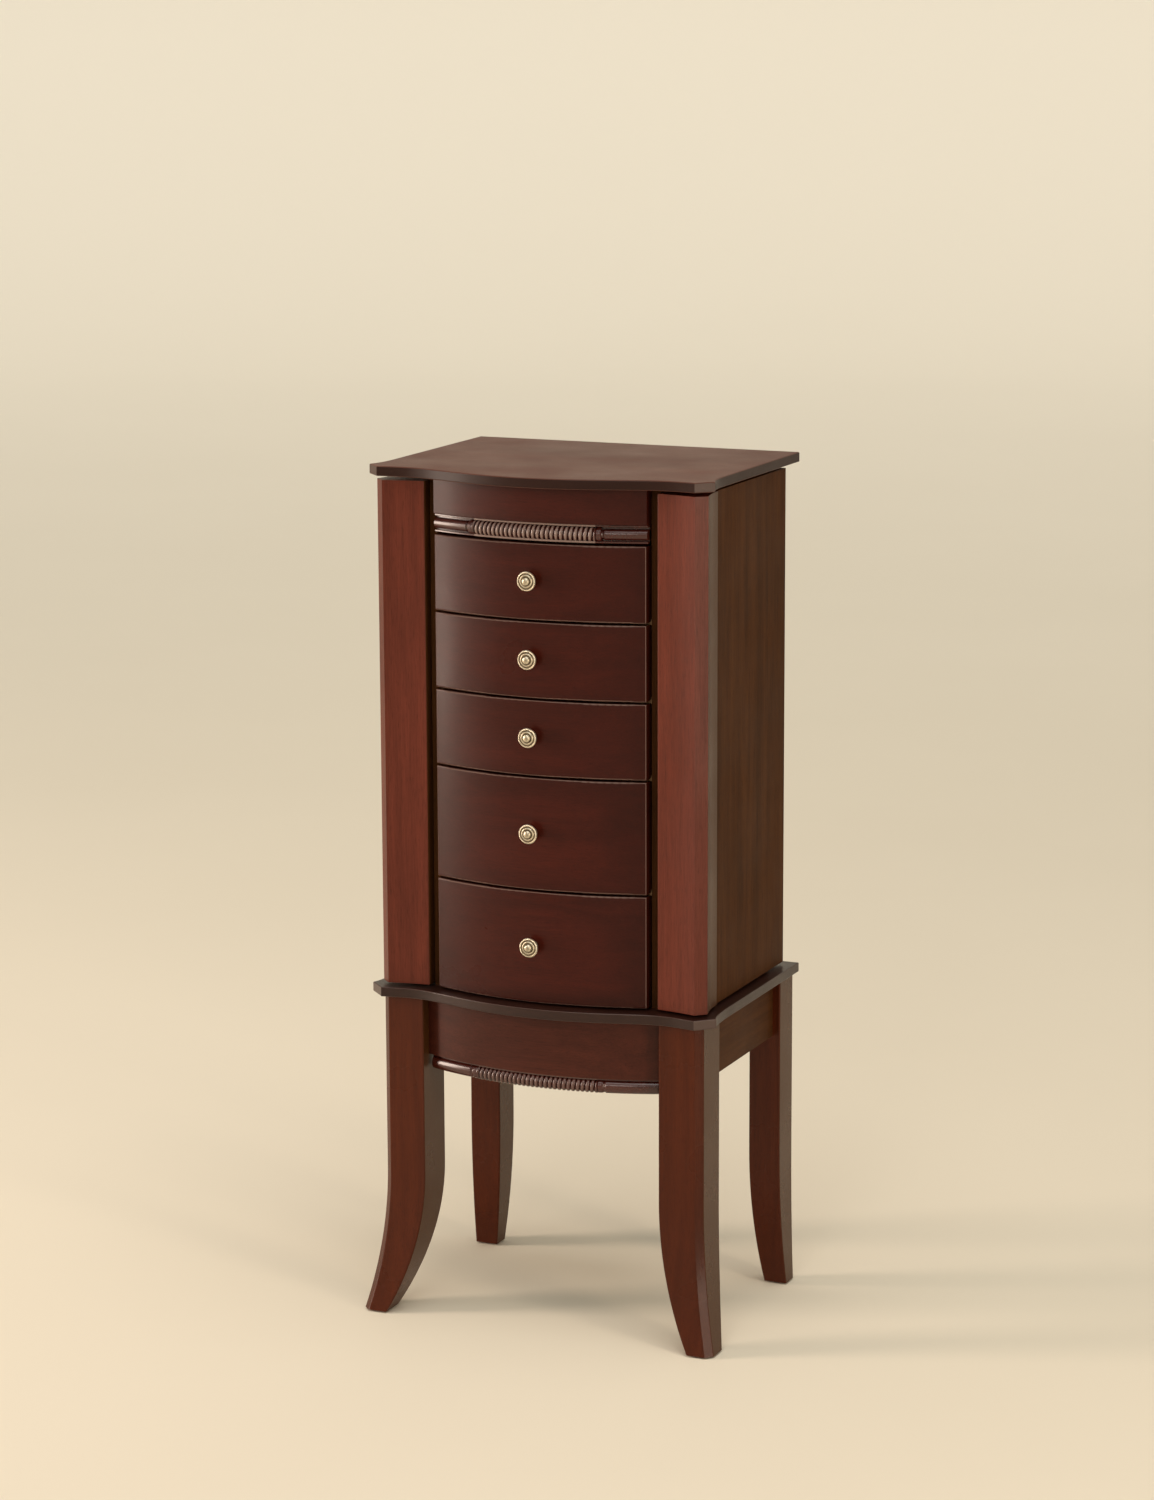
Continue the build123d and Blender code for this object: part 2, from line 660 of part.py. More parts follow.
def drawer_knob(span):
    """A turned knob with a raised rim, ring and dome, and the screw that holds it from inside."""
    z = (span[0] + span[1]) / 2 + 2.0
    foot = Polyline((0, 0), (6.0, 0), (6.0, 1.4), (3.8, 3.2), (3.8, 6.2), (10.2, 9.0))
    rim = ThreePointArc((10.2, 9.0), (11.2, 11.2), (9.6, 13.2))
    face = Polyline((9.6, 13.2), (8.0, 12.2), (6.6, 13.4), (4.6, 13.0))
    edge_radius, edge_height, dome_top = 4.6, 13.0, 16.2
    rise = dome_top - edge_height
    dome_radius = (edge_radius ** 2 + rise ** 2) / (2 * rise)
    dome_centre = dome_top - dome_radius
    halfway = asin(edge_radius / dome_radius) / 2
    dome_middle = (dome_radius * sin(halfway), dome_centre + dome_radius * cos(halfway))
    dome = ThreePointArc((edge_radius, edge_height), dome_middle, (0, dome_top))
    profile = make_face([foot, rim, face, dome, Line((0, dome_top), (0, 0))])
    turned = revolve(Plane.XZ * profile, axis=Axis.Z) - Pos(0, 0, 4.5) * Cylinder(2.05, 9.0)
    knob = Pos(0, BOW_FRONT_Y, z) * (Rot(90, 0, 0) * turned)
    head_y = BOW_FRONT_Y + FRONT_THICKNESS
    shank = cylinder_y(2.0, 0, z, (BOW_FRONT_Y - 8.5, head_y + 0.2))
    head = cylinder_y(4.0, 0, z, (head_y + 0.1, head_y + 2.4))
    return group([knob, shank + head])


# ---- Nodes ---------------------------------------------------------------------------------------
def pair(nodes, name, right):
    nodes[name + "_right"] = right
    nodes[name + "_left"] = mirrored(right)


def build():
    nodes = {}
    pair(nodes, "leg_front", front_leg())
    pair(nodes, "leg_back", back_leg())
    nodes["floor_glides"] = floor_glides()
    nodes["front_apron"] = front_apron()
    pair(nodes, "side_apron", side_apron())
    nodes["back_apron"] = back_apron()
    nodes["apron_rope_moulding"] = apron_rope_moulding()
    nodes["corner_blocks"] = corner_blocks()
    nodes["stand_screws"] = stand_screws()
    nodes["base_board"] = base_board()
    pair(nodes, "carcass_side", carcass_side())
    nodes["carcass_back"] = carcass_back()
    nodes["hinge_rail"] = hinge_rail()
    nodes["drawer_dividers"] = drawer_dividers()
    nodes["upper_front_panel"] = upper_front_panel()
    nodes["upper_rope_moulding"] = upper_rope_moulding()
    nodes["tray_floor"] = tray_floor()
    nodes["tray_lining"] = tray_lining()
    nodes["tray_dividers"] = tray_dividers()
    nodes["ring_rolls"] = ring_rolls()
    nodes["door_catches"] = group([door_catch(), mirrored(door_catch())])
    right_leaves = door_leaves(fixed=True)
    nodes["door_hinge_fixed_leaves"] = group(right_leaves + [mirrored(leaf) for leaf in right_leaves])
    nodes["lid_hinge_fixed_leaves"] = group(lid_leaves(fixed=True))
    nodes["lid_board"] = lid_board()
    nodes["mirror_frame"] = mirror_frame()
    nodes["mirror_glass"] = mirror_glass()
    nodes["lid_hinge_leaves"] = group(lid_leaves(fixed=False))
    pair(nodes, "door_post", door_post())
    pair(nodes, "door_panel", door_panel())
    pair(nodes, "door_frame", door_frame())
    pair(nodes, "necklace_hooks", necklace_hooks())
    pair(nodes, "necklace_pocket", necklace_pocket())
    pair(nodes, "door_hinge_leaves", group(door_leaves(fixed=False)))
    pair(nodes, "door_strike", strike_plate())
    rests = [high for _, high in divider_spans()] + [BOARD_TOP]
    for number, (span, rest_z) in enumerate(zip(drawer_spans(), rests), start=1):
        nodes[f"drawer_{number}_front"] = drawer_front(span)
        nodes[f"drawer_{number}_box"] = drawer_box(span, rest_z)
        nodes[f"drawer_{number}_knob"] = drawer_knob(span)
    return nodes


os.makedirs("parts", exist_ok=True)
for node, shape in build().items():
    export_step(shape, f"parts/{node}.step")
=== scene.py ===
import math
import random

import bmesh
import bpy
from mathutils import Matrix, Vector, noise


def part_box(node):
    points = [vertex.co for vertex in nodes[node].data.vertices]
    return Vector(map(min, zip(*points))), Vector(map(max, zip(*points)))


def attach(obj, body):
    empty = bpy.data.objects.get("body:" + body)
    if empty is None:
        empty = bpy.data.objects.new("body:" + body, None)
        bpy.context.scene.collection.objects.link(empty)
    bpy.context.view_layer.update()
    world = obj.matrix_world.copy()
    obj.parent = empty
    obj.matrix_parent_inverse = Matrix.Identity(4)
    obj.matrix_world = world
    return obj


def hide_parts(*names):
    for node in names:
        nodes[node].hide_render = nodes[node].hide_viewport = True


# The looks of a jewelry armoire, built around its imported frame. Metres, X right, Y back, Z up.
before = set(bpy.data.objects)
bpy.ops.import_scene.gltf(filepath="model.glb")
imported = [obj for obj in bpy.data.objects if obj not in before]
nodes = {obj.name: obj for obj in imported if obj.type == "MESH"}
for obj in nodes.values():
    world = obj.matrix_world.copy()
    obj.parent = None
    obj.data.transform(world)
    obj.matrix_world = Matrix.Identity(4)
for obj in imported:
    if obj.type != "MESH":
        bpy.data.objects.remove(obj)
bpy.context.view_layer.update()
CARCASS = "stand_and_carcass"
DRAWERS = (1, 2, 3, 4, 5)
SIDES = ((-1, "left"), (1, "right"))

# The bow of the drawer fronts: every bowed surface shares this upright axis.
BOW_RADIUS = 0.358
BOW_CENTRE_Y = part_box("drawer_1_front")[0][1] + BOW_RADIUS

# The rope mouldings: a round bead on the bow, twisted like rope over its middle length.
PATH_RADIUS = BOW_RADIUS - 0.0066
ROPE = 0.0080
ROPE_END = 0.072
UPPER_ROPE_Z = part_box("upper_rope_moulding")[0][2] + 0.0095
LOWER_ROPE_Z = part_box("apron_rope_moulding")[1][2] - 0.0094


# ---- Node helpers --------------------------------------------------------------------------------
class Shader:
    """A material's node tree, with short calls for the nodes used here."""

    def __init__(self, name):
        self.material = bpy.data.materials.new(name)
        self.material.use_nodes = True
        self.tree = self.material.node_tree
        self.surface = self.tree.nodes["Principled BSDF"]
        where = self.tree.nodes.new("ShaderNodeTexCoord")
        self.place, self.normal = where.outputs["Object"], where.outputs["Normal"]

    def add(self, kind, values=(), **settings):
        node = self.tree.nodes.new(kind)
        for key, value in settings.items():
            setattr(node, key, value)
        for key, value in dict(values).items():
            if isinstance(value, bpy.types.NodeSocket):
                self.tree.links.new(value, node.inputs[key])
            else:
                node.inputs[key].default_value = value
        return node

    def moved(self, scale, offset=(0, 0, 0), place=None):
        values = {"Vector": place or self.place, "Scale": scale, "Location": offset}
        return self.add("ShaderNodeMapping", values).outputs["Vector"]

    def noise(self, place, scale=1.0, detail=3.0, rough=0.5, twist=0.0):
        values = {"Vector": place, "Scale": scale, "Detail": detail, "Roughness": rough, "Distortion": twist}
        return self.add("ShaderNodeTexNoise", values).outputs["Fac"]

    def math(self, operation, first, second=0.0):
        node = self.add("ShaderNodeMath", {0: first, 1: second}, operation=operation)
        return node.outputs[0]

    def between(self, value, low, high, to_low=0.0, to_high=1.0):
        values = {"Value": value, "From Min": low, "From Max": high, "To Min": to_low, "To Max": to_high}
        return self.add("ShaderNodeMapRange", values).outputs["Result"]

    def mix(self, amount, first, second, blend="MIX"):
        node = self.tree.nodes.new("ShaderNodeMix")
        node.data_type = "RGBA"
        node.blend_type = blend
        for index, value in ((0, amount), (6, first), (7, second)):
            if isinstance(value, bpy.types.NodeSocket):
                self.tree.links.new(value, node.inputs[index])
            else:
                node.inputs[index].default_value = (*value, 1.0) if index else value
        return node.outputs[2]

    def toward_outline(self, node, start, most):
        """0 in the middle of a node's front and most at its outline, from a share of the way out."""
        low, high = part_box(node)
        x, _, z = self.add("ShaderNodeSeparateXYZ", {0: self.place}).outputs
        shares = []
        for value, i in ((x, 0), (z, 2)):
            offset = self.math("SUBTRACT", value, (low[i] + high[i]) / 2)
            shares.append(self.math("DIVIDE", self.math("ABSOLUTE", offset), (high[i] - low[i]) / 2))
        drift = self.between(self.noise(self.moved((9.0, 9.0, 9.0)), detail=3.0), 0.3, 0.7, -0.12, 0.12)
        outward = self.math("ADD", self.math("MAXIMUM", *shares), drift)
        return self.between(outward, start, 1.05, 0.0, most)

    def rope_relief(self, bead_z):
        """(how deep, how high) a point lies in the carved length of a rope moulding."""
        x, y, z = self.add("ShaderNodeSeparateXYZ", {0: self.place}).outputs
        behind = self.math("SUBTRACT", y, BOW_CENTRE_Y)
        from_axis = self.hypotenuse(x, behind)
        out = self.math("SUBTRACT", from_axis, PATH_RADIUS)
        radius = self.hypotenuse(out, self.math("SUBTRACT", z, bead_z))
        along_rope = self.between(self.math("ABSOLUTE", x), ROPE_END, ROPE_END - 0.001)
        hollow = self.between(radius, ROPE - 0.0006, ROPE - 0.0021)
        ridge = self.between(radius, ROPE - 0.0005, ROPE - 0.0001)
        return self.math("MULTIPLY", hollow, along_rope), self.math("MULTIPLY", ridge, along_rope)

    def hypotenuse(self, first, second):
        first, second = self.math("MULTIPLY", first, first), self.math("MULTIPLY", second, second)
        return self.math("SQRT", self.math("ADD", first, second))

    def bump(self, height, strength, distance):
        values = {"Height": height, "Strength": strength, "Distance": distance}
        self.set("Normal", self.add("ShaderNodeBump", values).outputs["Normal"])

    def set(self, socket, value):
        if isinstance(value, bpy.types.NodeSocket):
            self.tree.links.new(value, self.surface.inputs[socket])
        else:
            self.surface.inputs[socket].default_value = value


# ---- Materials -----------------------------------------------------------------------------------
def along(axis, slow, fast):
    """Texture scales that run slowly along the grain's axis and fast across it."""
    scale = [fast, fast, fast]
    scale["xyz".index(axis)] = slow
    return scale


def wood(
    name, axis, tone, spread=0.3, rough=0.34, gloss=0.15, coat=0.06, pores=0.5, relief=0.16,
    edge=None, side=None, painted_edge_highlight=0.0, darker_outline=None, carved=None,
):
    """Stained and lacquered wood: broad tone, drifting figure, fine grain and open pores.

    The last five arguments, in order: a tone of painted shade for every face that doesn't look up or down;
    a tone of painted light and shade for the faces that look sideways; how strong a painted highlight runs
    along the crisp edges; the node whose front is darker towards its outline; and the height of a rope
    moulding's axis with how strong a painted highlight its ridges get, while its hollows get painted shade.
    """
    s = Shader(name)
    dark = [c * (1.0 - spread) for c in tone]
    light = [c * (1.0 + spread) for c in tone]
    offset = [noise.random_unit_vector()[i] * 3.0 for i in range(3)]
    figure = s.noise(s.moved(along(axis, 3.2, 62.0), offset), detail=4.0, rough=0.55, twist=0.9)
    grain = s.noise(s.moved(along(axis, 22.0, 720.0), offset), detail=4.0, rough=0.6)
    pore = s.noise(s.moved(along(axis, 85.0, 1900.0), offset), detail=2.0)
    broad = s.noise(s.moved((5.0, 5.0, 5.0), offset), detail=2.0)
    streak = s.math("ADD", s.math("MULTIPLY", figure, 0.55), s.math("MULTIPLY", grain, 0.45))
    colour = s.mix(s.between(streak, 0.34, 0.66), dark, light)
    shade = s.between(broad, 0.3, 0.7, 0.9, 1.1)
    grey = s.add("ShaderNodeCombineColor", {0: shade, 1: shade, 2: shade}).outputs[0]
    colour = s.mix(1.0, colour, grey, "MULTIPLY")
    open_pore = s.between(pore, 0.56, 0.70)
    colour = s.mix(s.math("MULTIPLY", open_pore, pores), colour, [c * 0.4 for c in dark])
    across, _, facing = s.add("ShaderNodeSeparateXYZ", {0: s.normal}).outputs
    sideways = s.math("ABSOLUTE", across)
    # Painted shade: faces that look neither up nor down take the darker edge tone.
    if edge:
        colour = s.mix(s.between(s.math("ABSOLUTE", facing), 0.35, 0.9), edge, colour)
    # Painted light and shade: faces that look sideways take the side tone.
    if side:
        colour = s.mix(s.between(sideways, 0.8, 0.97), colour, side)
    # The front grows darker towards its outline.
    if darker_outline:
        colour = s.mix(s.toward_outline(darker_outline, 0.62, 0.42), colour, [c * 0.3 for c in tone])
    # Painted shade in the rope's hollows and painted highlight on its ridges.
    if carved:
        bead_z, ridge_highlight = carved
        hollow, ridge = s.rope_relief(bead_z)
        colour = s.mix(s.math("MULTIPLY", hollow, 0.85), colour, GROOVE_SHADE_TONE)
        colour = s.mix(s.math("MULTIPLY", ridge, ridge_highlight), colour, RIDGE_HIGHLIGHT_TONE)
    # Painted highlight: crisp edges, found from the normal, are lightened towards a pale tone.
    if painted_edge_highlight:
        slope = s.math("MULTIPLY", facing, facing)
        level_edge = s.math("MULTIPLY", slope, s.math("SUBTRACT", 1.0, slope))
        upright_edge = s.math("MULTIPLY", s.between(sideways, 0.5, 0.62), s.between(sideways, 0.96, 0.84))
        crisp = s.math("MAXIMUM", s.between(level_edge, 0.1, 0.22), upright_edge)
        colour = s.mix(s.math("MULTIPLY", crisp, painted_edge_highlight), colour, EDGE_HIGHLIGHT_TONE)
    s.set("Base Color", colour)
    polish = s.noise(s.moved((11.0, 11.0, 11.0)), detail=5.0)
    s.set("Roughness", s.between(polish, 0.3, 0.7, rough - 0.05, rough + 0.08))
    s.set("Coat Weight", coat)
    s.set("Coat Roughness", 0.2)
    s.set("Specular IOR Level", gloss)
    height = s.math("SUBTRACT", s.math("MULTIPLY", grain, 0.35), open_pore)
    s.bump(height, relief, 0.00025)
    return s.material


def cloth(name, colour, deep, nap=0.5, weave=1800.0, crush=60.0):
    """Short-pile fabric: sheen, a fine nap and patches where the pile lies the other way."""
    s = Shader(name)
    pile = s.noise(s.moved((weave, weave, weave)), detail=3.0, rough=0.7)
    lay = s.noise(s.moved((crush, crush * 0.6, crush)), detail=3.0, twist=0.6)
    mixed = s.math("ADD", s.math("MULTIPLY", pile, 0.45), s.math("MULTIPLY", lay, 0.55))
    s.set("Base Color", s.mix(s.between(mixed, 0.36, 0.64), deep, colour))
    s.set("Roughness", s.between(lay, 0.3, 0.7, 0.82, 0.97))
    s.set("Sheen Weight", nap)
    s.set("Sheen Roughness", 0.38)
    s.set("Specular IOR Level", 0.2)
    s.bump(mixed, 0.45, 0.0004)
    return s.material


def metal(name, colour, worn, rough, grime=0.0, scale=260.0):
    """Metal with fine scratches, cloudy tarnish and an uneven polish."""
    s = Shader(name)
    cloud = s.noise(s.moved((scale, scale, scale)), detail=5.0, rough=0.6)
    scratch = s.noise(s.moved((4200.0, 300.0, 900.0)), detail=3.0)
    tarnish = s.between(cloud, 0.42, 0.66, 0.0, grime)
    s.set("Base Color", s.mix(tarnish, colour, worn))
    s.set("Metallic", 1.0)
    uneven = s.math("ADD", cloud, s.math("MULTIPLY", scratch, 0.4))
    s.set("Roughness", s.between(uneven, 0.5, 0.9, rough - 0.06, rough + 0.14))
    s.bump(scratch, 0.12, 0.0001)
    return s.material


def knob_metal():
    """Antiqued brass: dark in the turned grooves, and pale on the rim, ring and dome, partly rubbed brass and
    partly painted highlight.
    """
    s = Shader("knob_brass_antique")
    split = s.add("ShaderNodeSeparateXYZ", {0: s.place})
    across = s.math("MULTIPLY", split.outputs[0], split.outputs[0])
    up = s.math("MULTIPLY", split.outputs[2], split.outputs[2])
    radius = s.math("SQRT", s.math("ADD", across, up))
    ramp = s.add("ShaderNodeValToRGB", {0: s.math("DIVIDE", radius, 0.0114)})
    stops = (
        (0.0, 0.3), (0.16, 0.45), (0.3, 0.9), (0.42, 0.12), (0.52, 0.5),
        (0.6, 0.75), (0.7, 0.08), (0.78, 0.2), (0.86, 1.0), (1.0, 0.85),
    )
    while len(ramp.color_ramp.elements) < len(stops):
        ramp.color_ramp.elements.new(0.5)
    for element, (place, bright) in zip(ramp.color_ramp.elements, stops):
        element.position = place
        element.color = (bright, bright, bright, 1.0)
    cloud = s.noise(s.moved((420.0, 420.0, 420.0)), detail=4.0)
    # The pale rings are partly rubbed brass and partly painted highlight.
    rubbed_and_highlit = s.math("MULTIPLY", ramp.outputs[0], s.between(cloud, 0.3, 0.6, 0.72, 1.0))
    s.set("Base Color", s.mix(rubbed_and_highlit, (0.10, 0.062, 0.03), (0.88, 0.80, 0.62)))
    s.set("Metallic", 1.0)
    s.set("Roughness", s.between(rubbed_and_highlit, 0.0, 1.0, 0.55, 0.3))
    s.bump(cloud, 0.1, 0.0002)
    return s.material


def plastic(name, colour):
    s = Shader(name)
    moulded = s.noise(s.moved((900.0, 900.0, 900.0)), detail=3.0)
    s.set("Base Color", s.mix(s.between(moulded, 0.3, 0.7), colour, [c * 1.35 for c in colour]))
    s.set("Roughness", s.between(moulded, 0.3, 0.7, 0.5, 0.66))
    s.bump(moulded, 0.15, 0.0002)
    return s.material


def mirror():
    """Silvered glass with a faint haze of dust."""
    s = Shader("mirror_silvered")
    dust = s.noise(s.moved((30.0, 30.0, 30.0)), detail=6.0, rough=0.7)
    s.set("Base Color", s.mix(s.between(dust, 0.4, 0.8), (0.88, 0.9, 0.9), (0.8, 0.82, 0.82)))
    s.set("Metallic", 1.0)
    s.set("Roughness", s.between(dust, 0.4, 0.85, 0.015, 0.09))
    return s.material


noise.seed_set(7)
POST_TONE = (0.105, 0.0230, 0.0130)
LEG_TONE = (0.060, 0.0118, 0.0035)
FRONT_TONE = (0.042, 0.0056, 0.0028)
APRON_TONE = (0.050, 0.0110, 0.0060)
PANEL_TONE = (0.056, 0.0205, 0.0062)
TOP_TONE = (0.110, 0.0250, 0.0115)
# Near-black tone: painted shade on the lid's upright faces, and the base board's own dark stain.
DARK_STAIN_AND_SHADE_TONE = (0.020, 0.0060, 0.0038)
# Painted highlight along crisp edges.
EDGE_HIGHLIGHT_TONE = (0.230, 0.1500, 0.1250)
# Painted highlight on rope ridges, and painted shade in rope hollows.
RIDGE_HIGHLIGHT_TONE = (0.340, 0.2500, 0.2200)
GROOVE_SHADE_TONE = (0.004, 0.0012, 0.0008)

# Posts and legs: their sideways faces take the panel's tone as painted light and shade.
post_wood = wood("stained_post", "z", POST_TONE, spread=0.25, gloss=0.12, coat=0.05, side=PANEL_TONE)
leg_wood = wood("stained_leg", "z", LEG_TONE, spread=0.22, rough=0.28, gloss=0.12, coat=0.10, side=PANEL_TONE)
apron_wood = wood("stained_apron", "x", APRON_TONE)
moulding_woods = {}
# Each rope moulding: its axis height and how strong a painted highlight its ridges get.
CARVED = {"upper_rope_moulding": (UPPER_ROPE_Z, 0.55), "apron_rope_moulding": (LOWER_ROPE_Z, 0.18)}
for node, carved in CARVED.items():
    moulding_woods[node] = wood(
        f"stained_{node}", "x", FRONT_TONE, rough=0.24, gloss=0.5, coat=0.25, pores=0.1, relief=0.02, carved=carved
    )
deep_side = wood("stained_side_rail", "y", PANEL_TONE, rough=0.5, gloss=0.05, coat=0.0)
panel_wood = wood("stained_panel", "z", PANEL_TONE, spread=0.34, rough=0.55, gloss=0.04, coat=0.0, pores=0.7)
top_wood = wood(
    "stained_top", "x", TOP_TONE, spread=0.16, rough=0.42, gloss=0.14, coat=0.09, edge=DARK_STAIN_AND_SHADE_TONE, painted_edge_highlight=0.2
)
base_wood = wood("stained_base", "x", DARK_STAIN_AND_SHADE_TONE, rough=0.34, gloss=0.3, coat=0.1, painted_edge_highlight=0.2)
front_wood = wood("stained_front_panel", "x", FRONT_TONE, spread=0.24, darker_outline="upper_front_panel")
raw_wood = wood("raw_lumber", "x", (0.36, 0.22, 0.12), rough=0.7, gloss=0.2, coat=0.0)
box_wood = wood("drawer_lumber", "y", (0.065, 0.023, 0.014), rough=0.6, gloss=0.2, coat=0.0)
felt = cloth("felt_lining", (0.36, 0.27, 0.18), (0.20, 0.14, 0.09), nap=0.35)
velvet = cloth("velvet_roll", (0.40, 0.30, 0.20), (0.21, 0.15, 0.095), nap=0.9, crush=38.0)
pocket_cloth = cloth("pocket_faille", (0.34, 0.25, 0.17), (0.19, 0.13, 0.085), nap=0.5, weave=2600.0)
knob_brass = knob_metal()
hinge_brass = metal("hinge_brass_lacquered", (0.56, 0.41, 0.19), (0.30, 0.20, 0.08), 0.34, grime=0.35, scale=90.0)
screw_brass = metal("screw_brass_aged", (0.30, 0.20, 0.09), (0.13, 0.08, 0.035), 0.42, grime=0.5)
steel = metal("zinc_plated_steel", (0.58, 0.58, 0.56), (0.36, 0.36, 0.35), 0.38, grime=0.7)
glide_plastic = plastic("glide_nylon", (0.10, 0.085, 0.075))
catch_plastic = plastic("catch_housing", (0.085, 0.05, 0.04))
silvered = mirror()

drawer_woods = []
for n in DRAWERS:
    front = f"drawer_{n}_front"
    # Drawer fronts get a strong painted highlight along their crisp edges.
    finish = {"spread": 0.24, "rough": 0.3, "gloss": 0.14, "coat": 0.06, "painted_edge_highlight": 0.6}
    drawer_woods.append(wood(f"stained_{front}", "x", FRONT_TONE, darker_outline=front, **finish))

LOOKS = {
    top_wood: ["lid_board"],
    base_wood: ["base_board"],
    apron_wood: ["front_apron", "back_apron", "hinge_rail", "mirror_frame"],
    front_wood: ["upper_front_panel"],
    deep_side: ["side_apron_left", "side_apron_right"],
    leg_wood: ["leg_front_left", "leg_front_right", "leg_back_left", "leg_back_right"],
    post_wood: ["door_post_left", "door_post_right", "door_frame_left", "door_frame_right"],
    panel_wood: ["door_panel_left", "door_panel_right", "carcass_side_left", "carcass_side_right", "carcass_back"],
    raw_wood: ["corner_blocks", "drawer_dividers", "tray_floor"],
    glide_plastic: ["floor_glides"],
    catch_plastic: ["door_catches"],
    felt: ["tray_lining", "tray_dividers"],
    silvered: ["mirror_glass"],
    steel: ["stand_screws", "door_strike_left", "door_strike_right"],
    hinge_brass: [
        "door_hinge_fixed_leaves", "lid_hinge_fixed_leaves", "lid_hinge_leaves",
        "door_hinge_leaves_left", "door_hinge_leaves_right",
        "necklace_hooks_left", "necklace_hooks_right",
    ],
    box_wood: [f"drawer_{n}_box" for n in DRAWERS],
}


def paint(piece, material):
    """Gives every material slot of an object this material."""
    if not piece.material_slots:
        piece.data.materials.append(material)
    for slot in piece.material_slots:
        slot.link = "OBJECT"
        slot.material = material


for material, names in LOOKS.items():
    for name in names:
        paint(nodes[name], material)
for n in DRAWERS:
    paint(nodes[f"drawer_{n}_front"], drawer_woods[n - 1])


# ---- Mesh helpers --------------------------------------------------------------------------------
def piece_of(name, verts, faces, material, smooth=True):
    mesh = bpy.data.meshes.new(name)
    mesh.from_pydata([tuple(v) for v in verts], [], faces)
    mesh.validate()
    mesh.update()
    for polygon in mesh.polygons:
        polygon.use_smooth = smooth
    piece = bpy.data.objects.new(name, mesh)
    bpy.context.scene.collection.objects.link(piece)
    mesh.materials.append(material)
    return piece


def rings_to_faces(count, around, closed=True, start=0):
    """Quads between successive rings of the same number of points."""
    faces = []
    for i in range(count - 1):
        for j in range(around if closed else around - 1):
            k = (j + 1) % around
            a, b = start + i * around, start + (i + 1) * around
            faces.append((a + j, a + k, b + k, b + j))
    return faces


class Build:
    """Collects several closed shells into one mesh."""

    def __init__(self):
        self.verts = []
        self.faces = []

    def sweep(self, rings, caps=True):
        start = len(self.verts)
        around = len(rings[0])
        for ring in rings:
            self.verts.extend(ring)
        self.faces.extend(rings_to_faces(len(rings), around, start=start))
        if caps:
            self.faces.append(tuple(start + j for j in reversed(range(around))))
            last = start + (len(rings) - 1) * around
            self.faces.append(tuple(last + j for j in range(around)))

    def lathe(self, profile, around, place):
        """Turns (radius, height) points about the local Z axis, then places each point."""
        rings = []
        for radius, height in profile:
            ring = []
            for j in range(around):
                angle = 2 * math.pi * j / around
                ring.append(place(Vector((radius * math.cos(angle), radius * math.sin(angle), height))))
            rings.append(ring)
        self.sweep(rings)

    def piece(self, name, material, smooth=True):
        return piece_of(name, self.verts, self.faces, material, smooth)


def sharpen(piece, degrees=40.0):
    """Keeps edges sharper than this crisp while the rest stays smooth."""
    mesh = piece.data
    cleaned = bmesh.new()
    cleaned.from_mesh(mesh)
    bmesh.ops.recalc_face_normals(cleaned, faces=cleaned.faces)
    for edge in cleaned.edges:
        if len(edge.link_faces) == 2:
            edge.smooth = edge.calc_face_angle(0.0) < math.radians(degrees)
    cleaned.to_mesh(mesh)
    cleaned.free()


# ---- Rope mouldings ------------------------------------------------------------------------------
COLLAR_START = 0.0716
COLLAR_END = 0.0814
COLLAR_STEP = 0.0002
STRIP_HEIGHT = 0.0024
UPPER_BEAD = 0.0060
LOWER_BEAD = 0.0077
LOWER_BACKING = 0.0154
STRAND_PITCH = 0.0053
STRAND_DEPTH = 0.0026
AROUND = 60
STRIP_OUT = BOW_RADIUS - 0.003
BACKING_OUT = BOW_RADIUS - 0.008
BACKING_IN = BOW_RADIUS - 0.016


def bow_frame(angle):
    """(outward, tangent) of the bow at an angle from its middle."""
    outward = Vector((math.sin(angle), -math.cos(angle), 0))
    return outward, Vector((math.cos(angle), math.sin(angle), 0))


def trimmed(point, tangent, half_width):
    """A point slid along the moulding onto its end's upright plane."""
    end = math.copysign(half_width, point.x)
    return point + tangent * ((end - point.x) / tangent.x)


def collar_radius(distance, bead):
    """The turned collar's radius at a distance from the moulding's middle."""
    stops = (
        (COLLAR_START, 0.0052), (0.0722, 0.0072), (0.0730, 0.0077), (0.0768, 0.0077), (0.0778, 0.0073),
        (0.0784, bead - 0.0005), (0.0792, bead - 0.0010), (0.0804, bead - 0.0008), (COLLAR_END, bead),
    )
    if distance >= COLLAR_END:
        return bead
    for (x0, r0), (x1, r1) in zip(stops, stops[1:]):
        if distance <= x1:
            share = max(0.0, (distance - x0) / (x1 - x0))
            return r0 + (r1 - r0) * share


def rope_radius(around, distance):
    """The twisted rope's radius: rounded strands that climb to the right."""
    turn = (around / (2 * math.pi) - distance / STRAND_PITCH) % 1.0
    lobe = math.sqrt(max(0.0, 1.0 - (2.0 * turn - 1.0) ** 2))
    return ROPE - STRAND_DEPTH * (1.0 - lobe)


def bead_ring(distance, z, half_width, radius_at, at_end):
    angle = distance / PATH_RADIUS
    outward, tangent = bow_frame(angle)
    centre = Vector((0, BOW_CENTRE_Y, z)) + outward * PATH_RADIUS
    ring = []
    for j in range(AROUND):
        turn = 2 * math.pi * j / AROUND
        radius = radius_at(turn, distance)
        point = centre + outward * (radius * math.cos(turn)) + Vector((0, 0, radius * math.sin(turn)))
        ring.append(trimmed(point, tangent, half_width) if at_end else point)
    return ring


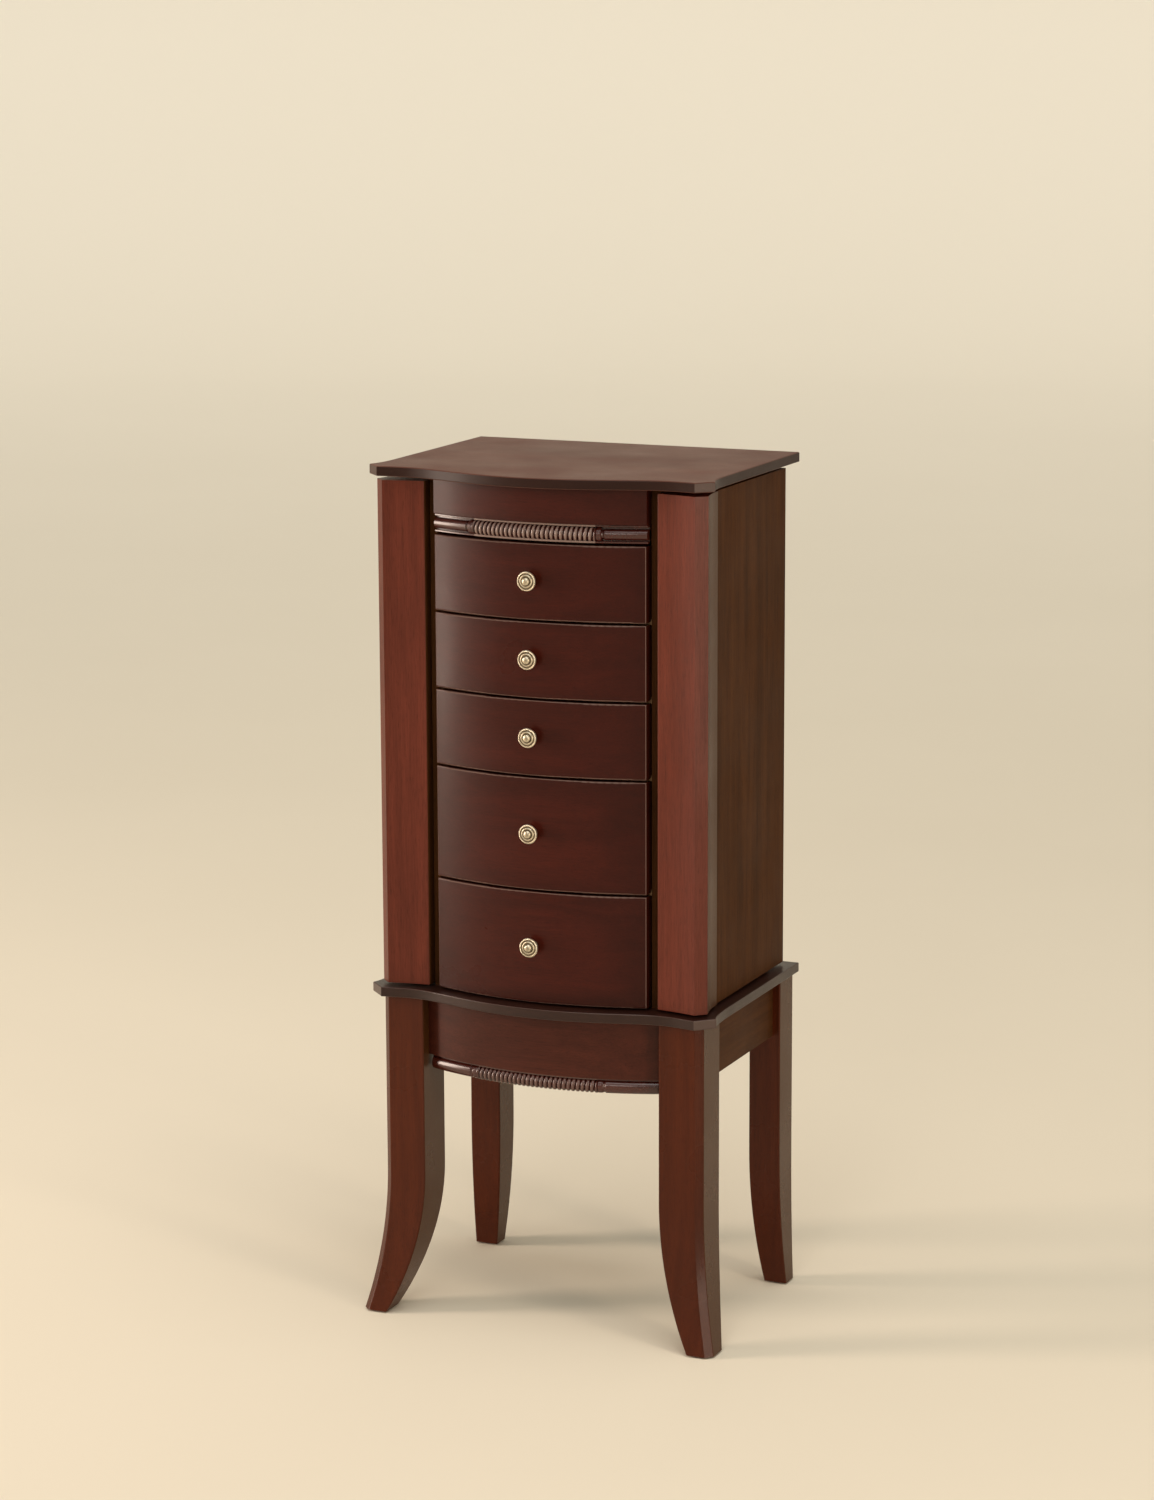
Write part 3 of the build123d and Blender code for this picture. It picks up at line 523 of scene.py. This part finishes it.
def strip_rings(outline, half_width, steps=48):
    """Sweeps a (radius from the bow's axis, height) outline from one end of the bow to the other."""
    rings = []
    for i in range(steps + 1):
        x = half_width * (2 * i / steps - 1)
        ring = []
        for radius, z in outline:
            ring.append(Vector((x, BOW_CENTRE_Y - math.sqrt(radius ** 2 - x ** 2), z)))
        rings.append(ring)
    return rings


def eased_outline(inner, outer, low, high, ease=0.0005):
    """A rectangle whose two outer corners are eased."""
    front = [(outer - ease, low), (outer, low + ease), (outer, high - ease), (outer - ease, high)]
    return [(inner, low), *front, (inner, high)]


def rope_moulding(name, node, bead_z, bead, strip_lows, backing):
    half_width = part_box(node)[1][0]
    build = Build()
    build.sweep(strip_rings(eased_outline(BACKING_IN, BACKING_OUT, *backing), half_width))
    for low in strip_lows:
        build.sweep(strip_rings(eased_outline(BACKING_IN, STRIP_OUT, low, low + STRIP_HEIGHT), half_width))
    step = STRAND_PITCH / 12
    count = round(2 * ROPE_END / step)
    rope = [-ROPE_END + 2 * ROPE_END * i / count for i in range(count + 1)]
    build.sweep([bead_ring(s, bead_z, half_width, rope_radius, False) for s in rope])
    end = PATH_RADIUS * math.asin(half_width / PATH_RADIUS)
    collar = [COLLAR_START + COLLAR_STEP * i for i in range(50)]
    plain = [COLLAR_END + (end - COLLAR_END) * i / 12 for i in range(1, 13)]

    def turned_radius(_, distance):
        return collar_radius(abs(distance), bead)

    for side in (-1, 1):
        stations = [side * s for s in collar + plain]
        build.sweep([bead_ring(s, bead_z, half_width, turned_radius, s == stations[-1]) for s in stations])
    piece = build.piece(name, moulding_woods[node])
    sharpen(piece, 38.0)
    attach(piece, CARCASS)
    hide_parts(node)


upper_low, upper_high = (corner[2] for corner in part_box("upper_rope_moulding"))
rope_moulding(
    "rope_moulding_upper", "upper_rope_moulding", UPPER_ROPE_Z, UPPER_BEAD,
    (upper_low, upper_high - STRIP_HEIGHT), (upper_low, upper_high),
)
lower_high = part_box("apron_rope_moulding")[1][2]
rope_moulding(
    "rope_moulding_lower", "apron_rope_moulding", LOWER_ROPE_Z, LOWER_BEAD,
    (lower_high - STRIP_HEIGHT,), (lower_high - LOWER_BACKING, lower_high),
)


# ---- Knobs ---------------------------------------------------------------------------------------
FLUTES = 40
FLUTE_DEPTH = 0.00042
FLUTE_DROP = 0.00035
FLUTE_START = 0.0084
FLUTE_FADE = 0.0016
FLUTE_HEIGHT = 0.0085
FRONT_THICKNESS = 0.012
SCREW_PAN = (
    (0.0020, -0.0004), (0.0040, 0.0001), (0.0040, 0.0013), (0.0036, 0.0020), (0.0026, 0.0024), (0.0016, 0.0025),
)
KNOB_PROFILE = (
    (0.0060, 0.0000), (0.0060, 0.0012), (0.0055, 0.0017), (0.0043, 0.0026), (0.0038, 0.0035),
    (0.0037, 0.0050), (0.0040, 0.0061), (0.0058, 0.0073), (0.0080, 0.0082), (0.0098, 0.0089),
    (0.0106, 0.0097), (0.01105, 0.0106), (0.01105, 0.0116), (0.0107, 0.0126), (0.0101, 0.0131),
    (0.0094, 0.0131), (0.0088, 0.0126), (0.0083, 0.0121), (0.0079, 0.0121), (0.0074, 0.0127),
    (0.0070, 0.0133), (0.0064, 0.0136), (0.0058, 0.0134), (0.0053, 0.0128), (0.0048, 0.0126),
    (0.0046, 0.0132), (0.0042, 0.0143), (0.0035, 0.0152), (0.0025, 0.0158), (0.0013, 0.0161),
    (0.0003, 0.0162),
)


def knob(n):
    low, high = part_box(f"drawer_{n}_knob")
    face_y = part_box(f"drawer_{n}_front")[0][1]
    centre = Vector((0, face_y, (low[2] + high[2]) / 2))
    around = FLUTES * 5
    build = Build()
    rings = []
    for radius, height in KNOB_PROFILE:
        ring = []
        fluted = max(0.0, min(1.0, (radius - FLUTE_START) / FLUTE_FADE)) * (1.0 if height > FLUTE_HEIGHT else 0.0)
        for j in range(around):
            turn = 2 * math.pi * j / around
            wave = 0.5 - 0.5 * math.cos(turn * FLUTES)
            r = radius - FLUTE_DEPTH * wave * fluted
            h = height - FLUTE_DROP * wave * fluted
            ring.append(Vector((r * math.cos(turn), -h, r * math.sin(turn))))
        rings.append(ring)
    build.sweep(rings)
    piece = build.piece(f"knob_{n}", knob_brass)
    sharpen(piece, 50.0)
    piece.location = centre
    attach(piece, f"drawer_{n}")
    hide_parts(f"drawer_{n}_knob")
    inside = face_y + FRONT_THICKNESS
    screw = Build()
    screw.lathe(SCREW_PAN, 40, lambda p: Vector((p.x, inside + p.z, centre.z + p.y)))
    slot = Build()
    for across, tall in ((0.0011, 0.00032), (0.00032, 0.0011)):
        rings = []
        for depth in (0.00245, 0.00262):
            corners = ((-across, -tall), (across, -tall), (across, tall), (-across, tall))
            rings.append([Vector((x, inside + depth, centre.z + z)) for x, z in corners])
        slot.sweep(rings)
    head = screw.piece(f"knob_screw_{n}", steel)
    recess = slot.piece(f"knob_screw_recess_{n}", glide_plastic, smooth=False)
    for part in (head, recess):
        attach(part, f"drawer_{n}")


for n in DRAWERS:
    knob(n)


# ---- Screws on the hinges ------------------------------------------------------------------------
def hinge_screws(name, body, points):
    """Slotted screw heads on faces that look backwards."""
    build = Build()
    for index, point in enumerate(points):
        turn = Matrix.Rotation(0.4 + 1.1 * index, 3, "Y")
        for side in (-1, 1):
            outline = []
            for k in range(13):
                angle = math.radians(8 + 164 * k / 12)
                outline.append((0.0021 * math.cos(angle), side * 0.0021 * math.sin(angle)))
            rings = []
            for shrink, depth in ((1.0, -0.0002), (1.0, 0.00018), (0.86, 0.00042)):
                ring = []
                for x, z in outline:
                    gap = side * 0.00030
                    ring.append(Vector(point) + turn @ Vector((x * shrink, depth, gap + (z - gap) * shrink)))
                rings.append(ring)
            build.sweep(rings)
    piece = build.piece(name, screw_brass)
    sharpen(piece, 30.0)
    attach(piece, body)


SCREW_RISE = 0.013
LEAF_REACH = 0.0100
fixed_low, fixed_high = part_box("door_hinge_fixed_leaves")
door_axis_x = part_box("door_hinge_leaves_right")[0][0] + 0.0024
plate_y = fixed_low[1] + 0.0012
door_hinge_z = (fixed_low[2] + 0.020, fixed_high[2] - 0.020)
fixed_points = []
for side, side_name in SIDES:
    moving_points = []
    for z in door_hinge_z:
        for rise in (-SCREW_RISE, SCREW_RISE):
            fixed_points.append((side * (door_axis_x - LEAF_REACH), plate_y, z + rise))
            moving_points.append((side * (door_axis_x + LEAF_REACH), plate_y, z + rise))
    hinge_screws(f"door_hinge_screws_{side_name}", f"door_{side_name}", moving_points)
lid_low, lid_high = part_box("lid_hinge_fixed_leaves")
for x in (lid_low[0] + 0.020, lid_high[0] - 0.020):
    for across in (-SCREW_RISE, SCREW_RISE):
        fixed_points.append((x + across, lid_low[1] + 0.0012, lid_high[2] - 0.0124))
hinge_screws("fixed_hinge_screws", CARCASS, fixed_points)


# ---- Drawer linings ------------------------------------------------------------------------------
def drawer_lining(n):
    """A felt sheet glued in the drawer, turned up a little where it meets the walls."""
    low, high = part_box(f"drawer_{n}_box")
    floor = low[2] + 0.0041
    half_width = high[0] - 0.0093
    back = high[1] - 0.0093
    front_radius = BOW_RADIUS - 0.0124
    columns, rows = 44, 44
    rings = []
    for i in range(columns + 1):
        x = half_width * (2 * i / columns - 1)
        front = BOW_CENTRE_Y - math.sqrt(front_radius ** 2 - x ** 2)
        row = []
        for j in range(rows + 1):
            y = front + (back - front) * j / rows
            edge = min(half_width - abs(x), y - front, back - y)
            turned = 0.0013 * max(0.0, 1.0 - edge / 0.006) ** 2
            fuzz = 0.00022 * noise.noise(Vector((x * 60, y * 60, n)))
            row.append(Vector((x, y, floor + 0.0011 + turned + fuzz)))
        rings.append(row)
    verts = [v for row in rings for v in row]
    faces = rings_to_faces(columns + 1, rows + 1, closed=False)
    piece = piece_of(f"drawer_lining_{n}", verts, faces, felt)
    solid = piece.modifiers.new("thickness", "SOLIDIFY")
    solid.thickness = 0.0010
    solid.offset = -1.0 if piece.data.polygons[0].normal.z > 0 else 1.0
    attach(piece, f"drawer_{n}")


for n in DRAWERS:
    drawer_lining(n)


# ---- Ring rolls ----------------------------------------------------------------------------------
ROLLS = 6
ROLL_PITCH = 0.025
rolls_low, rolls_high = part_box("ring_rolls")
ROLL_LENGTH = rolls_high[0] - rolls_low[0]
ROLL_WIDTH = 0.024
ROLL_HEIGHT = rolls_high[2] - rolls_low[2]


def stuffed(mesh, pressure, frames, cap):
    """Swells a closed mesh with air pressure as cloth and returns its new points."""
    puffed = bpy.data.objects.new("stuffing", mesh)
    bpy.context.scene.collection.objects.link(puffed)
    remesh = puffed.modifiers.new("even", "REMESH")
    remesh.mode = "VOXEL"
    remesh.voxel_size = 0.0022
    remeshed = puffed.evaluated_get(bpy.context.evaluated_depsgraph_get())
    even = bpy.data.meshes.new_from_object(remeshed)
    puffed.modifiers.clear()
    puffed.data = even
    start = [v.co.copy() for v in even.vertices]
    swell = puffed.modifiers.new("swell", "CLOTH")
    swell.settings.quality = 6
    swell.settings.mass = 0.2
    swell.settings.tension_stiffness = 12
    swell.settings.compression_stiffness = 8
    swell.settings.bending_stiffness = 0.6
    swell.settings.use_pressure = True
    swell.settings.uniform_pressure_force = pressure
    swell.settings.effector_weights.gravity = 0.0
    swell.point_cache.frame_end = frames
    scene = bpy.context.scene
    for number in range(1, frames + 1):
        scene.frame_set(number)
    shaped = puffed.evaluated_get(bpy.context.evaluated_depsgraph_get())
    mesh_after = bpy.data.meshes.new_from_object(shaped)
    puffed.modifiers.clear()
    scene.frame_set(1)
    for vertex, old in zip(mesh_after.vertices, start):
        shift = vertex.co - old
        if shift.length > cap:
            vertex.co = old + shift * (cap / shift.length)
    bpy.data.objects.remove(puffed)
    return mesh_after


def roll_blank():
    """A roll before stuffing: an eased bar, narrower where its ends are sewn."""
    length, width, height = ROLL_LENGTH - 0.006, ROLL_WIDTH - 0.0042, ROLL_HEIGHT - 0.0036
    rings = []
    stations = 28
    for i in range(stations + 1):
        x = length * (i / stations - 0.5)
        end = min(1.0, (length / 2 - abs(x)) / 0.008)
        pull = 1.0 - 0.16 * (1.0 - end) ** 2
        ring = []
        for j in range(40):
            turn = 2 * math.pi * j / 40
            power = 0.62
            y = math.copysign(abs(math.cos(turn)) ** power, math.cos(turn)) * width / 2 * pull
            z = math.copysign(abs(math.sin(turn)) ** power, math.sin(turn)) * height / 2 * pull
            ring.append(Vector((x, y, z)))
        rings.append(ring)
    build = Build()
    build.sweep(rings)
    blank = build.piece("roll_blank", velvet)
    mesh = blank.data
    bpy.data.objects.remove(blank)
    return mesh


def ring_rolls():
    roll = stuffed(roll_blank(), pressure=3.0, frames=12, cap=0.0016)
    middle_z = (rolls_low[2] + rolls_high[2]) / 2
    box = [[f(v.co[i] for v in roll.vertices) for f in (min, max)] for i in range(3)]
    room = (ROLL_LENGTH, ROLL_WIDTH - 0.0002, ROLL_HEIGHT)
    fit = [min(1.0, room[i] / (box[i][1] - box[i][0])) for i in range(3)]
    for index in range(ROLLS):
        mesh = roll.copy()
        y = rolls_low[1] + ROLL_PITCH * (index + 0.5) - 0.0005
        for vertex in mesh.vertices:
            co = vertex.co
            drift = noise.noise(Vector((co.x * 45, co.z * 60, index * 5.3)))
            fold = noise.noise(Vector((co.x * 160, co.z * 45, index * 3.1 + 40)))
            inward = 1.0 - 0.022 * abs(drift) - 0.014 * abs(fold)
            flatter = 1.0 - 0.01 * abs(drift)
            vertex.co = Vector((co.x * fit[0], co.y * fit[1] * inward + y, co.z * fit[2] * flatter + middle_z))
        for polygon in mesh.polygons:
            polygon.use_smooth = True
        mesh.materials.clear()
        mesh.materials.append(velvet)
        piece = bpy.data.objects.new(f"ring_roll_{index + 1}", mesh)
        bpy.context.scene.collection.objects.link(piece)
        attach(piece, CARCASS)
        if index == 0:
            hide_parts("ring_rolls")


ring_rolls()


# ---- Necklace pockets ----------------------------------------------------------------------------
GATHERS = 30
POCKET_COLUMNS = 360
POCKET_ROWS = 30


def pocket(side, side_name):
    """A gathered cloth pocket, sewn to the door's panel at both ends and drawn in by elastic at its top."""
    low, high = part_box(f"necklace_pocket_{side_name}")
    wall = max(abs(low[0]), abs(high[0]))
    bulge = abs(high[0] - low[0]) - 0.002
    y0, y1 = low[1] + 0.001, high[1] - 0.001
    z0, z1 = low[2] + 0.0005, high[2]
    rng = random.Random(11 if side > 0 else 12)
    phases = [rng.uniform(-0.5, 0.5) for _ in range(GATHERS + 2)]
    rows = []
    for i in range(POCKET_ROWS + 1):
        up = i / POCKET_ROWS
        row = []
        for j in range(POCKET_COLUMNS + 1):
            share = j / POCKET_COLUMNS
            count = share * GATHERS
            k = int(count)
            phase = phases[k] * (1 - (count - k)) + phases[k + 1] * (count - k)
            taper = min(1.0, share * 12, (1 - share) * 12)
            wave = math.sin(2 * math.pi * count + phase * 1.4)
            gather = (0.0017 + 0.0011 * (1 - up) * up * 4) * (0.72 + 0.28 * math.sin(count * 1.7 + phase))
            belly = 1.0 - 0.16 * up ** 2 - 0.10 * (1 - up) ** 3
            in_elastic = 0.84 < up < 0.94
            elastic = 0.35 if in_elastic else 1.0
            out = bulge * belly * math.sin(math.pi * share) ** 0.8
            out += gather * wave * taper * elastic - 0.0012 * (1 if in_elastic else 0) * taper
            sway = 0.0011 * math.cos(2 * math.pi * count + phase) * taper * (1 - up)
            droop = 0.0016 * math.sin(math.pi * share) * up
            y = y0 + (y1 - y0) * share + sway
            row.append(Vector((side * (wall - max(0.0006, out)), y, z0 + (z1 - z0) * up - droop)))
        rows.append(row)
    verts = [v for row in rows for v in row]
    faces = rings_to_faces(POCKET_ROWS + 1, POCKET_COLUMNS + 1, closed=False)
    piece = piece_of(f"pocket_{side_name}", verts, faces, pocket_cloth)
    solid = piece.modifiers.new("thickness", "SOLIDIFY")
    solid.thickness = 0.0006
    solid.offset = 0.0
    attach(piece, f"door_{side_name}")
    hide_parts(f"necklace_pocket_{side_name}")


for side, side_name in SIDES:
    pocket(side, side_name)


# ---- Studio --------------------------------------------------------------------------------------
FLAT_RADIUS = 10.0
CURVE_RADIUS = 8.0
FLOOR_SIDES = 96


def studio_floor():
    """A pale round floor that curves up into a wall far behind every viewpoint."""
    s = Shader("studio_floor")
    mottle = s.noise(s.moved((0.9, 0.9, 0.9)), detail=4.0)
    near = s.mix(s.between(mottle, 0.3, 0.7), (0.755, 0.69, 0.56), (0.775, 0.71, 0.58))
    x, y, _ = s.add("ShaderNodeSeparateXYZ", {0: s.place}).outputs
    s.set("Base Color", s.mix(s.between(s.hypotenuse(x, y), 3.0, 14.0), near, (0.97, 0.91, 0.79)))
    s.set("Roughness", 0.75)
    s.set("Specular IOR Level", 0.25)
    profile = [(5.0, 0.0), (9.9, 0.0), (FLAT_RADIUS, 0.0)]
    for i in range(1, 31):
        turn = math.radians(85.0) * i / 30
        profile.append((FLAT_RADIUS + CURVE_RADIUS * math.sin(turn), CURVE_RADIUS * (1.0 - math.cos(turn))))
    around = [2 * math.pi * j / FLOOR_SIDES for j in range(FLOOR_SIDES)]
    build = Build()
    rings = []
    for radius, height in reversed(profile):
        rings.append([Vector((radius * math.cos(a), radius * math.sin(a), height)) for a in around])
    build.sweep(rings, caps=False)
    build.faces.append(tuple(range(len(build.verts) - FLOOR_SIDES, len(build.verts))))
    build.piece("studio_floor", s.material)


def area_light(name, place, target, size, power, colour):
    data = bpy.data.lights.new(name, "AREA")
    data.shape = "RECTANGLE"
    data.size, data.size_y = size
    data.energy = power
    data.color = colour
    light = bpy.data.objects.new(name, data)
    bpy.context.scene.collection.objects.link(light)
    light.location = place
    light.rotation_euler = (Vector(target) - Vector(place)).to_track_quat("-Z", "Y").to_euler()


studio_floor()
middle = (0.0, 0.0, 0.55)
area_light("window_left", (-3.55, -1.75, 1.2), middle, (0.8, 2.6), 132.0, (1.0, 0.81, 0.69))
area_light("front_fill", (0.6, -4.8, 2.8), middle, (1.2, 0.9), 24.0, (1.0, 0.95, 0.88))
area_light("strip_right", (3.0, -1.33, 1.0), middle, (0.45, 2.0), 32.0, (1.0, 0.82, 0.65))
sky = bpy.data.lights.new("sky_panel", "SUN")
sky.energy = 1.38
sky.angle = math.radians(50.0)
sky.color = (1.0, 0.97, 0.92)
sky_panel = bpy.data.objects.new("sky_panel", sky)
bpy.context.scene.collection.objects.link(sky_panel)
sky_panel.rotation_euler = (math.radians(14.0), math.radians(10.0), 0.0)

world = bpy.data.worlds.new("studio_air")
world.use_nodes = True
world.node_tree.nodes["Background"].inputs[0].default_value = (1.0, 0.94, 0.82, 1.0)
world.node_tree.nodes["Background"].inputs[1].default_value = 0.34
bpy.context.scene.world = world
bpy.context.scene.view_settings.view_transform = "Standard"

# ---- Camera --------------------------------------------------------------------------------------
AZIMUTH = math.radians(23.82)
ELEVATION = math.radians(11.32)
ROLL = math.radians(-0.244)
FOCAL_LENGTH = 98.03
VIEWPOINT = (1.8006, -4.0944, 1.5349)
right = Vector((math.cos(AZIMUTH), math.sin(AZIMUTH), 0))
level = Vector((-math.sin(AZIMUTH), math.cos(AZIMUTH), 0))
forward = level * math.cos(ELEVATION) - Vector((0, 0, math.sin(ELEVATION)))
up = right.cross(forward)
tilted_right = right * math.cos(ROLL) + up * math.sin(ROLL)
tilted_up = up * math.cos(ROLL) - right * math.sin(ROLL)
turn = Matrix((tilted_right, tilted_up, -forward)).transposed().to_4x4()
lens = bpy.data.cameras.new("camera")
lens.lens = FOCAL_LENGTH
lens.sensor_fit = "VERTICAL"
lens.sensor_height = 36.0
lens.sensor_width = 36.0
lens.clip_start = 0.05
lens.clip_end = 900.0
camera = bpy.data.objects.new("camera", lens)
camera.matrix_world = Matrix.Translation(VIEWPOINT) @ turn
bpy.context.scene.collection.objects.link(camera)
bpy.context.scene.camera = camera
